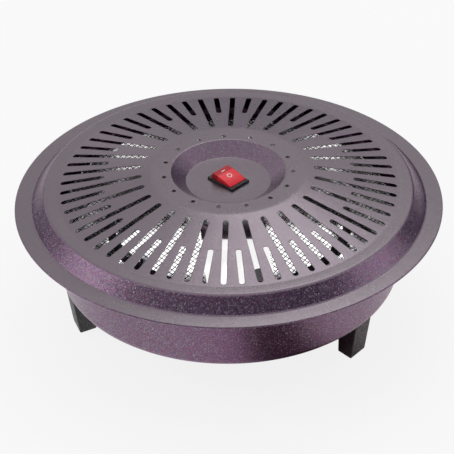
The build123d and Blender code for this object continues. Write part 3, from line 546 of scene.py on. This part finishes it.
def punched_edge(bm, inner, outer, width, azimuth):
    """The rolled edge of a slot along a radius, or of a round hole, and the loop round it."""
    before = set(bm.verts)
    bmesh.ops.create_grid(bm, x_segments=1, y_segments=1, size=0.5)
    verts = [vert for vert in bm.verts if vert not in before]
    size = Vector((outer - inner + 2 * ROLL_WIDTH, width + 2 * ROLL_WIDTH, 1)) * MM
    bmesh.ops.scale(bm, verts=verts, vec=size)
    bmesh.ops.translate(bm, verts=verts, vec=((inner + outer) / 2 * MM, 0, 0))
    just_short_of_half = 0.999 * (width / 2 + ROLL_WIDTH)
    bmesh.ops.bevel(
        bm, geom=verts, offset=just_short_of_half * MM, offset_type="OFFSET",
        segments=4, profile=0.5, affect="VERTICES", material=-1,
    )
    verts = [vert for vert in bm.verts if vert not in before]
    turn_round(bm, azimuth, verts)
    face = next(face for face in bm.faces if set(face.verts) == set(verts))
    loop = list(face.edges)
    for share, drop in ((0.6, 0.2), (0.4, 0.8)):
        bmesh.ops.inset_individual(
            bm, faces=[face], thickness=ROLL_WIDTH * share * MM, use_even_offset=True,
        )
        bmesh.ops.translate(bm, verts=face.verts[:], vec=(0, 0, -ROLL_DEPTH * drop * MM))
    bmesh.ops.delete(bm, geom=[face], context="FACES_ONLY")
    return loop


def holed_sector(inner, outer, angle, holes):
    """A flat sector of a ring, from azimuth 0 to an angle, with punched holes in it.

    Each hole is given by its inner and outer radius, its width and its azimuth.
    """
    bm = bmesh.new()
    line = [bm.verts.new((radius * MM, 0, 0)) for radius in (inner, outer)]
    bm.edges.new(line)
    cuts = max(1, round((outer - inner) / SHEET_CELL))
    bmesh.ops.subdivide_edges(bm, edges=bm.edges[:], cuts=cuts)
    bmesh.ops.spin(
        bm, geom=everything(bm), axis=(0, 0, 1), cent=(0, 0, 0),
        angle=math.radians(angle), steps=round(TURN_STEPS * angle / 360),
    )
    bmesh.ops.dissolve_faces(bm, faces=bm.faces[:])
    outline = bm.edges[:]
    bmesh.ops.delete(bm, geom=bm.faces[:], context="FACES_ONLY")
    for hole in holes:
        outline += punched_edge(bm, *hole)
    bmesh.ops.triangle_fill(bm, edges=outline, use_beauty=True, use_dissolve=False)
    return bm


def all_round(bm, angle, start, level=0.0):
    """Copies of a sector side by side, all the way round Z from a first azimuth."""
    copies = round(360 / angle) - 1
    lift(bm, level)
    turn_round(bm, start)
    bmesh.ops.spin(
        bm, geom=everything(bm), axis=(0, 0, 1), cent=(0, 0, 0),
        angle=math.radians(angle) * copies, steps=copies, use_duplicate=True,
    )
    return bm


# %% [markdown]
# ## The cover's levels
# The cover climbs from its hem over the flange and the shoulder to the crown, and falls again to
# the dish. Its reach and its highest and lowest levels are read from the frame, so the new piece
# stays where the CAD model has it. The levels between are the cover's own, in millimetres.

# %% Levels of the cover
cover_low, cover_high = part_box("grille_cover")
flange_radius = cover_high.x / MM
hem_level, crown_level = cover_low.z / MM, cover_high.z / MM
flange_level, shoulder_level, dish_level = 109.0, 123.5, 129.2
print("cover:", round(2 * flange_radius, 1), "mm across,", round(crown_level, 1), "mm high")

# %% [markdown]
# ## The slotted cone
# Thirty pairs of a long and a short slot run down the cone. Only one pair is modelled, in plan:
# the outline of its twelve degrees, the two rolled edges inside it, and a fill between them. Each
# point is then lifted to the cone by its radius, and a spin that copies makes the other pairs.

# %% One pair of slots, thirty times
slot_pairs = 30
pair_angle = 360 / slot_pairs
first_short_slot = 190.0
sector_start = first_short_slot - pair_angle / 4
short_slot_top, long_slot_top, slot_foot, slot_width = 116.0, 80.4, 157.0, 5.0
cone_foot = (160.0, shoulder_level)
cone_top = (73.0, crown_level)
slotted_foot, slotted_top = 158.6, 78.0


def cone_level(radius):
    slope = (cone_top[1] - cone_foot[1]) / (cone_foot[0] - cone_top[0])
    return cone_foot[1] + (cone_foot[0] - radius) * slope


def slotted_cone():
    slots = [
        (short_slot_top, slot_foot, slot_width, pair_angle / 4),
        (long_slot_top, slot_foot, slot_width, pair_angle * 3 / 4),
    ]
    bm = holed_sector(slotted_top, slotted_foot, pair_angle, slots)
    for vert in bm.verts:
        vert.co.z += cone_level(vert.co.xy.length / MM) * MM
    return all_round(bm, pair_angle, sector_start)


# %% [markdown]
# ## The cover
# The cover is one pressing. From outside in it has a turned hem, a flat flange, a step, a
# shoulder, the slotted cone, a flat crown with fifteen small vents, and a dish for the switch.
# The zones are made one by one with the same points on their borders, so that they weld.

# %% The cover
cover_wall = 0.9
hem_inner, step_foot, step_top, dish_rim, dish_foot = 195.7, 184.4, 171.8, 53.5, 39.5
vent_zone_inner, vent_zone_outer, dish_floor_radius = 56.2, 66.0, 24.0
vent_angle, vent_sector_start, vent_azimuth = 24.0, 202.0, 213.4
vent_middle, vent_width = 60.1, 4.0
switch_body_length, switch_body_width, cutout_clearance = 28.2, 22.0, 0.1


def vented_crown():
    inner, outer = vent_middle - vent_width / 2, vent_middle + vent_width / 2
    vent = (inner, outer, vent_width, vent_azimuth - vent_sector_start)
    sector = holed_sector(vent_zone_inner, vent_zone_outer, vent_angle, [vent])
    return all_round(sector, vent_angle, vent_sector_start, crown_level)


def dish_floor():
    """The flat floor of the dish round the switch's cut-out."""
    bm = bmesh.new()
    rim = bmesh.ops.create_circle(bm, segments=TURN_STEPS, radius=dish_floor_radius * MM)["verts"]
    turn_round(bm, sector_start, rim)
    corners = bmesh.ops.create_grid(bm, x_segments=1, y_segments=1, size=0.5)["verts"]
    length = switch_body_length + 2 * cutout_clearance
    width = switch_body_width + 2 * cutout_clearance
    bmesh.ops.scale(bm, verts=corners, vec=(length * MM, width * MM, 1))
    turn_round(bm, switch_azimuth, corners)
    bmesh.ops.delete(bm, geom=bm.faces[:], context="FACES_ONLY")
    bmesh.ops.triangle_fill(bm, edges=bm.edges[:], use_beauty=True, use_dissolve=False)
    lift(bm, dish_level)
    return bm


flange_line = [
    (hem_inner, hem_level), (flange_radius, hem_level), (flange_radius, flange_level),
    (step_foot, flange_level), (step_top, shoulder_level), cone_foot,
    (slotted_foot, cone_level(slotted_foot)),
]
crown_line = [(slotted_top, cone_level(slotted_top)), cone_top, (vent_zone_outer, crown_level)]
dish_line = [
    (vent_zone_inner, crown_level), (dish_rim, crown_level), (dish_foot, dish_level),
    (dish_floor_radius, dish_level),
]
cover_mesh = added(
    turned(flange_line, rounds=[1.1, 1.1, 4, 4.5, 10], start=sector_start),
    slotted_cone(),
    turned(crown_line, rounds=[18], start=sector_start),
    vented_crown(),
    turned(dish_line, rounds=[2.2, 1.5], start=sector_start),
    dish_floor(),
)
piece("cover", welded(cover_mesh), "casing_paint", stands_for=["grille_cover"], wall=cover_wall)

# %% [markdown]
# ## The pan
# The pan is deep-drawn from slightly thicker sheet. Its line runs outside it, from the raised
# panel in its floor over a rounded corner and up the drafted wall to the flat rim that the cover
# sits on. Eight slots in the panel let cool air in, and are punched as the cover's slots are.

# %% The pan
pan_wall = 1.0
pan_low, pan_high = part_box("body_pan")
pan_bottom, rim_level, rim_radius = pan_low.z / MM, pan_high.z / MM - pan_wall, pan_high.x / MM
panel_level, panel_edge, panel_foot, wall_foot, wall_top = 38.0, 104, 108, 160.5, 164
air_zone_inner, air_zone_outer, air_slot_inner, air_slot_outer = 22, 60, 26, 54
slot_angle = 45.0
air_slot = (air_slot_inner, air_slot_outer, slot_width, slot_angle / 2)
pan_line = [
    (air_zone_outer, panel_level), (panel_edge, panel_level), (panel_foot, pan_bottom),
    (wall_foot, pan_bottom), (wall_top, rim_level), (rim_radius, rim_level),
]
slotted_panel = holed_sector(air_zone_inner, air_zone_outer, slot_angle, [air_slot])
pan_mesh = added(
    turned([(0, panel_level), (air_zone_inner, panel_level)], rounds=[]),
    all_round(slotted_panel, slot_angle, 0, panel_level),
    turned(pan_line, rounds=[2, 2, 9, 1.5]),
)
piece(
    "pan", welded(pan_mesh, upwards=False), "casing_paint", stands_for=["body_pan"], wall=pan_wall,
)

# %% [markdown]
# ## The reflector
# Under the slots lies a bright tray that throws the heat up. It is a plain turned sheet: a flat
# floor, a wall and a lip that carries the net. Its floor, lip and reach come from the frame.

# %% Reflector tray
tray_wall, tray_radius = 0.6, 152
tray_low, tray_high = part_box("reflector_dish")
tray_level, lip_level, lip_radius = tray_low.z / MM, tray_high.z / MM - tray_wall, tray_high.x / MM
tray_line = [
    (0, tray_level), (tray_radius, tray_level), (tray_radius, lip_level), (lip_radius, lip_level),
]
piece(
    "reflector", welded(turned(tray_line, rounds=[4, 1])), "bright_reflector",
    stands_for=["reflector_dish"], wall=tray_wall,
)

# %% [markdown]
# ## The element
# The element is one long tube that rings round in the tray, with both ends bent inwards beside
# the wiring channel. A curve with a round bevel could make it too, but a circle that is spun
# along the ring, spun back at the bend and pulled out to its tip gives a clean mesh with evenly
# spaced rings at once. Half of it is made that way, and a mirror makes the other half.

# %% Element tube
wiring_azimuth = 274.0
element_low, element_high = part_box("heating_ring")
element_level = (element_low.z + element_high.z) / 2 / MM
tube_radius = (element_high.z - element_low.z) / 2 / MM
element_radius, half_gap, end_bend, end_reach = 112.0, 15.0, 14.0, 78.0


def only(kind, items):
    """The vertices or edges among what an operator gives back."""
    return [item for item in items if isinstance(item, kind)]


def element_tube():
    bm = bmesh.new()
    upright = Matrix.Rotation(math.radians(90), 4, "X")
    place = Matrix.Translation((-element_radius * MM, 0, 0)) @ upright
    bmesh.ops.create_circle(bm, segments=20, radius=tube_radius * MM, matrix=place)
    end = bmesh.ops.spin(
        bm, geom=everything(bm), axis=(0, 0, 1), cent=(0, 0, 0),
        angle=-math.radians(180 - half_gap), steps=90,
    )["geom_last"]
    gap = math.radians(half_gap)
    bend_centre = Vector((math.cos(gap), math.sin(gap), 0)) * (element_radius - end_bend) * MM
    end = bmesh.ops.spin(
        bm, geom=end, axis=(0, 0, 1), cent=bend_centre,
        angle=-math.radians(90 + half_gap), steps=20,
    )["geom_last"]
    made = bmesh.ops.extrude_edge_only(bm, edges=only(BMEdge, end))
    for vert in only(BMVert, made["geom"]):
        vert.co.x = end_reach * MM
    bmesh.ops.mirror(bm, geom=everything(bm), merge_dist=0.01 * MM, axis="Y")
    bmesh.ops.remove_doubles(bm, verts=bm.verts[:], dist=0.01 * MM)
    bmesh.ops.holes_fill(bm, edges=bm.edges[:], sides=0)
    bmesh.ops.recalc_face_normals(bm, faces=bm.faces[:])
    turn_round(bm, wiring_azimuth)
    lift(bm, element_level)
    return bm


piece("element", element_tube(), "element_tube", stands_for=["heating_ring"])

# %% [markdown]
# ## The net
# A dark net of expanded steel lies on the tray's lip and keeps things off the element. A picture
# with see-through holes would look flat from the side, so the net is real: a grid, turned by 45
# degrees and scaled to the two widths of a diamond, is trimmed to the lip, to the hole in the
# middle and to the wiring channel, and one operator turns what is left into wires.

# %% Net over the element
net_radius, net_hole, net_level = 156.5, 47.0, 102.1
diamond_length, diamond_width, strand = 7.4, 5.6, 0.85
channel_half_width = 31.0


def diamond_net():
    bm = bmesh.new()
    diagonal = math.sqrt(2)
    count = math.ceil(2 * diagonal * net_radius / min(diamond_length, diamond_width)) + 2
    bmesh.ops.create_grid(bm, x_segments=count, y_segments=count, size=count / 2)
    turn_round(bm, 45)
    length, width = diamond_length * MM / diagonal, diamond_width * MM / diagonal
    bmesh.ops.scale(bm, verts=bm.verts[:], vec=(length, width, 1))
    turn_round(bm, wiring_azimuth)
    along = about_z(wiring_azimuth) @ Vector((1, 0, 0))
    across = about_z(wiring_azimuth) @ Vector((0, 1, 0))

    def is_outside(face):
        centre = face.calc_center_median()
        reach, aside = centre.length / MM, abs(centre.dot(across)) / MM
        under_channel = centre.dot(along) > 0 and aside < channel_half_width
        return reach > net_radius or reach < net_hole or under_channel

    bmesh.ops.delete(bm, geom=[face for face in bm.faces if is_outside(face)], context="FACES")
    bmesh.ops.wireframe(
        bm, faces=bm.faces[:], thickness=strand * MM, use_replace=True, use_boundary=True,
        use_even_offset=True,
    )
    lift(bm, net_level)
    return bm


piece("net", diamond_net(), "dark_mesh", stands_for=["guard_mesh"])

# %% [markdown]
# ## Feet
# Each foot is a black moulding: straight at the back, its face leaning out, its sides opening
# outwards and its top hollowed to the pan's rounded corner. A few points give its side view; an
# extrusion gives its width, a small move opens its sides, and a bevel rounds its lower edges.

# %% Three feet
foot_azimuths = {"foot_left": 200, "foot_right": 320, "foot_rear": 80}
foot_back, sole_front, foot_width, foot_opening = 137, 154, 22, 8


def rounded(bm, edges, radius, steps, clamp=True):
    """Rounds edges, as a mould does."""
    bmesh.ops.bevel(
        bm, geom=edges, offset=radius * MM, offset_type="OFFSET", segments=steps, profile=0.5,
        affect="EDGES", material=-1, clamp_overlap=clamp,
    )


def from_side(side, width):
    """A block as wide as given, from its side view, a list of places along X and levels."""
    bm = bmesh.new()
    verts = [bm.verts.new((along * MM, -width / 2 * MM, level * MM)) for along, level in side]
    face = bm.faces.new(verts)
    made = bmesh.ops.extrude_face_region(bm, geom=[face])
    far = only(BMVert, made["geom"])
    bmesh.ops.translate(bm, verts=far, vec=(0, width * MM, 0))
    return bm


def foot(azimuth):
    hollow = [(159.4, 38.6), (158.4, 37.3), (156.9, 35.9), (154.9, 34.8), (152.6, 34.1)]
    side = [(foot_back, 0), (sole_front, 0), *hollow, (foot_back, pan_bottom)]
    bm = from_side(side, foot_width)
    opening = math.tan(math.radians(foot_opening)) / (foot_width / 2)
    for vert in bm.verts:
        vert.co.y *= 1 + (vert.co.x / MM - sole_front) * opening
    bmesh.ops.recalc_face_normals(bm, faces=bm.faces[:])
    edges = [edge for edge in bm.edges if min(vert.co.z for vert in edge.verts) < MM]
    rounded(bm, edges, radius=1.4, steps=3, clamp=False)
    turn_round(bm, azimuth)
    return bm


for name, azimuth in foot_azimuths.items():
    piece(name + "_moulding", foot(azimuth), "black_moulding", stands_for=[name])

# %% [markdown]
# ## The switch frame
# The switch frame is a low black collar with a body that goes down through the dish's cut-out
# and a cavity for the rocker. One cube gives it all: its top face is inset and pushed down for
# the cavity, its bottom face is inset and pulled down for the body, and the collar's outer edges
# are rounded. It is modelled in the switch's own frame, whose origin is the rocker's hinge.

# %% Switch frame
hinge = next(joint for joint in frame["joints"] if joint["name"] == "rocker_hinge")
pivot_level = hinge["pos_m"][2] / MM
half_swing = hinge["range_deg"][1] / 2
collar_length, collar_width, collar_height, collar_middle = 32.2, 23.2, 2.2, 0.7
cavity_length, cavity_width, cavity_depth, switch_body_depth = 26.6, 20.6, 17, 18


def on_switch(bm, tilt=0.0):
    """Moves a mesh from the switch's own frame to its place, tipped by an angle."""
    place = Matrix.Translation((0, 0, pivot_level * MM)) @ about_z(switch_azimuth, 4)
    tip = Matrix.Rotation(math.radians(tilt), 4, "Y")
    bmesh.ops.transform(bm, matrix=place @ tip, verts=bm.verts[:])
    return bm


def switch_frame():
    bm = bmesh.new()
    bmesh.ops.create_cube(bm, size=1)
    size = Vector((collar_length, collar_width, collar_height)) * MM
    bmesh.ops.scale(bm, verts=bm.verts[:], vec=size)
    lift(bm, collar_middle)
    top = max(bm.faces, key=lambda face: face.calc_center_median().z)
    bottom = min(bm.faces, key=lambda face: face.calc_center_median().z)
    upright = [edge for edge in bm.edges if abs(edge.verts[0].co.z - edge.verts[1].co.z) > MM]
    outer_edges = list(top.edges) + upright
    going_down = (
        (top, cavity_length, cavity_width, cavity_depth),
        (bottom, switch_body_length, switch_body_width, switch_body_depth),
    )
    for face, length, width, depth in going_down:
        # The inset makes the inner corners, and then they move to their exact places.
        bmesh.ops.inset_individual(bm, faces=[face], thickness=1.5 * MM)
        for vert in face.verts:
            vert.co.x = math.copysign(length / 2 * MM, vert.co.x)
            vert.co.y = math.copysign(width / 2 * MM, vert.co.y)
        made = bmesh.ops.extrude_face_region(bm, geom=[face])
        bmesh.ops.translate(bm, verts=only(BMVert, made["geom"]), vec=(0, 0, -depth * MM))
    bmesh.ops.recalc_face_normals(bm, faces=bm.faces[:])
    rounded(bm, outer_edges, radius=0.7, steps=4)
    return on_switch(bm)


piece("switch_frame", switch_frame(), "black_moulding", stands_for=["switch_housing"])

# %% [markdown]
# ## The rocker
# The rocker is a red block whose top is nearly flat, with a low crown in the middle and a slight
# fall to both ends. It is made level, from its side view, and then tipped to its rest, with its
# outer end pressed. How far it tips comes from the hinge's range in the frame.

# %% Rocker
rocker_width, rocker_half_length, crown_half = 20.2, 12.0, 4.0
rocker_crown, rocker_end_level = 6.0, 5.0
skirt_half_length, skirt_level = 12.6, -3.2
face_fall = math.atan2(rocker_crown - rocker_end_level, rocker_half_length - crown_half)


def rocker_body():
    side = [
        (-skirt_half_length, skirt_level), (skirt_half_length, skirt_level),
        (rocker_half_length, rocker_end_level), (crown_half, rocker_crown),
        (-crown_half, rocker_crown), (-rocker_half_length, rocker_end_level),
    ]
    bm = from_side(side, rocker_width)
    bmesh.ops.recalc_face_normals(bm, faces=bm.faces[:])
    edges = [edge for edge in bm.edges if max(vert.co.z for vert in edge.verts) > 0]
    rounded(bm, edges, radius=0.55, steps=4)
    return on_switch(bm, half_swing)


piece("rocker", rocker_body(), "red_rocker", body="rocker", stands_for=["switch_rocker"], sharp=50)

# %% [markdown]
# ## The printed marks
# A white ring and a white dash are printed on the rocker, the usual signs for off and on. Ink has
# hardly any thickness, so each mark is a flat face just above the plastic, and rides on the
# rocker's body. A picture could do the same, but a face stays sharp from close by.

# %% Printed marks
ink_height = 0.03


def on_face(bm, along):
    """Lays flat ink on the rocker's top, at a distance from its middle."""
    past_crown = max(0, abs(along) - crown_half)
    level = rocker_crown - past_crown * math.tan(face_fall) + ink_height
    tilt = math.copysign(face_fall, along) if past_crown else 0
    place = Matrix.Translation((along * MM, 0, level * MM)) @ Matrix.Rotation(tilt, 4, "Y")
    bmesh.ops.transform(bm, matrix=place, verts=bm.verts[:])
    return on_switch(bm, half_swing)


def ink_ring(radius, width):
    bm = bmesh.new()
    bmesh.ops.create_circle(bm, segments=48, radius=radius * MM, cap_ends=True)
    bmesh.ops.inset_individual(bm, faces=bm.faces[:], thickness=width * MM)
    middle = min(bm.faces, key=lambda face: face.calc_center_median().length)
    bmesh.ops.delete(bm, geom=[middle], context="FACES_ONLY")
    return bm


def ink_dash(length, width):
    bm = bmesh.new()
    bmesh.ops.create_grid(bm, x_segments=1, y_segments=1, size=0.5)
    bmesh.ops.scale(bm, verts=bm.verts[:], vec=(width * MM, length * MM, 1))
    return bm


marks = {
    "off_mark": (ink_ring(radius=2.6, width=0.9), 0.4),
    "on_mark": (ink_dash(length=4.6, width=1.0), -8),
}
for name, (ink, along) in marks.items():
    piece(name, on_face(ink, along), "white_moulding", body="rocker", finish=white_print)

# %% [markdown]
# ## The floor
# A pale floor keeps the object's shadow, and to the camera it is nearly white. The paint and the
# bright sheet mirror it too, and there it looks as a floor in a studio does: white on the left
# and pale on the right, with a dark wine card between, which gives the pan's wall its deep tone
# at the front right. Light Path's outputs tell the two apart, and one ramp along X is the card.

# %% Floor
card_span = 0.5
seen_glow, mirrored_glow = 0.85, 0.9


def stage_floor():
    bm = bmesh.new()
    bmesh.ops.create_grid(bm, x_segments=1, y_segments=1, size=6)
    mesh = bpy.data.meshes.new("studio_floor")
    bm.to_mesh(mesh)
    bm.free()
    finish = Finish("floor")
    seen = finish.node("LightPath", output="Is Camera Ray")
    mirrored = finish.node("LightPath", output="Is Glossy Ray")
    sideways = finish.vector("DOT_PRODUCT", finish.place, (1, 0, 0), "Value")
    stops = [
        (0.0, (1, 1, 1, 1)), (0.36, (1, 0.95, 1, 1)), (0.5, (0.85, 0.66, 0.8, 1)),
        (0.59, (0.05, 0.004, 0.02, 1)), (0.69, (0.05, 0.006, 0.02, 1)),
        (0.78, (0.9, 0.8, 0.84, 1)), (1.0, (1, 0.97, 1, 1)),
    ]
    across = sideways * (1 / card_span) + 0.5
    card = finish.node("ValToRGB", {"stops": stops}, {0: across}, "Color")
    colour = finish.mix(seen, card, (1, 1, 1, 1))
    matt = finish.node("BsdfDiffuse", {}, {"Color": (0.9, 0.9, 0.9, 1)}, "BSDF")
    glow = finish.node("Emission", {}, {"Color": colour, "Strength": 1}, "Emission")
    share = seen_glow * seen + mirrored_glow * mirrored
    both = finish.node("MixShader", {}, {0: share, 1: matt, 2: glow}, "Shader")
    finish.tree.links.new(both.socket, finish.output.inputs["Surface"])
    mesh.materials.append(finish.material)
    floor = bpy.data.objects.new("studio_floor", mesh)
    floor.location.z = -0.2 * MM
    bpy.context.scene.collection.objects.link(floor)
    return floor


floor = stage_floor()
print("floor:", [round(size, 1) for size in floor.dimensions], "m")

# %% [markdown]
# ## The lamps
# Three large softboxes stand behind and on both sides and give the object its soft shadows. In
# the photograph the bright tray and the channel shine through the slots more than any light from
# outside can make them, so two weak softboxes hang inside the heater and look down on them.

# %% Five softboxes
def soft_lamp(name, place, size, power, back=None):
    """A softbox. It lights the middle of the scene, or faces away from where its back looks."""
    data = bpy.data.lights.new(name, "AREA")
    data.shape = "RECTANGLE"
    data.size, data.size_y = size
    data.energy = power
    lamp = bpy.data.objects.new(name, data)
    lamp.location = place
    lamp.rotation_euler = Vector(back or place).to_track_quat("Z", "Y").to_euler()
    bpy.context.scene.collection.objects.link(lamp)


upwards = (0, 0, 1)
soft_lamp("back_lamp", place=(0.5, 1.75, 2.6), size=(1.4, 1.2), power=10)
soft_lamp("right_lamp", place=(2.1, 0.1, 1.25), size=(1.2, 1.2), power=6)
soft_lamp("left_lamp", place=(-2.1, -0.2, 1.25), size=(1.2, 1.0), power=6)
soft_lamp("tray_lamp", place=(0, 0.054, 0.108), size=(0.23, 0.066), power=0.09, back=upwards)
soft_lamp("channel_lamp", place=(0, -0.105, 0.122), size=(0.08, 0.09), power=0.021, back=upwards)
print("lamps:", [lamp.name for lamp in bpy.data.lights])

# %% [markdown]
# ## The tent
# Around the object stands a soft tent. Across it, from low in front to high behind, it goes from
# an even grey through a dark band to bright cloth overhead. The dark band gives the steep faces
# in front their depth. A panorama picture could do this, but one dot product with the direction
# of the bright side and one ramp are enough. The camera itself sees plain white.

# %% World
bright_side = (-0.15, 0.42, 0.9)
tent_light = 1.8
cloths = [
    (0.0, (0.3, 0.28, 0.3)), (0.46, (0.3, 0.27, 0.3)), (0.54, (0.02, 0.006, 0.03)),
    (0.75, (0.02, 0.006, 0.04)), (0.83, (0.6, 0.58, 0.6)), (0.93, (0.38, 0.37, 0.38)),
    (1.0, (0.6, 0.59, 0.6)),
]
stops = [(place, (*(tent_light * part for part in cloth), 1)) for place, cloth in cloths]
world = bpy.data.worlds.new("studio")
bpy.context.scene.world = world
world.use_nodes = True
tent = NodeTree(world.node_tree)
direction = tent.node("TexCoord", output="Generated")
towards = tent.vector("DOT_PRODUCT", direction, bright_side, "Value")
seen = tent.node("LightPath", output="Is Camera Ray")
glow = tent.node("ValToRGB", {"stops": stops}, {0: towards * 0.5 + 0.5}, "Color")
colour = tent.mix(seen, glow, (1, 1, 1, 1))
background = world.node_tree.nodes["Background"]
tent.tree.links.new(colour.socket, background.inputs["Color"])
print("tent:", len(stops), "stops from front to bright side")
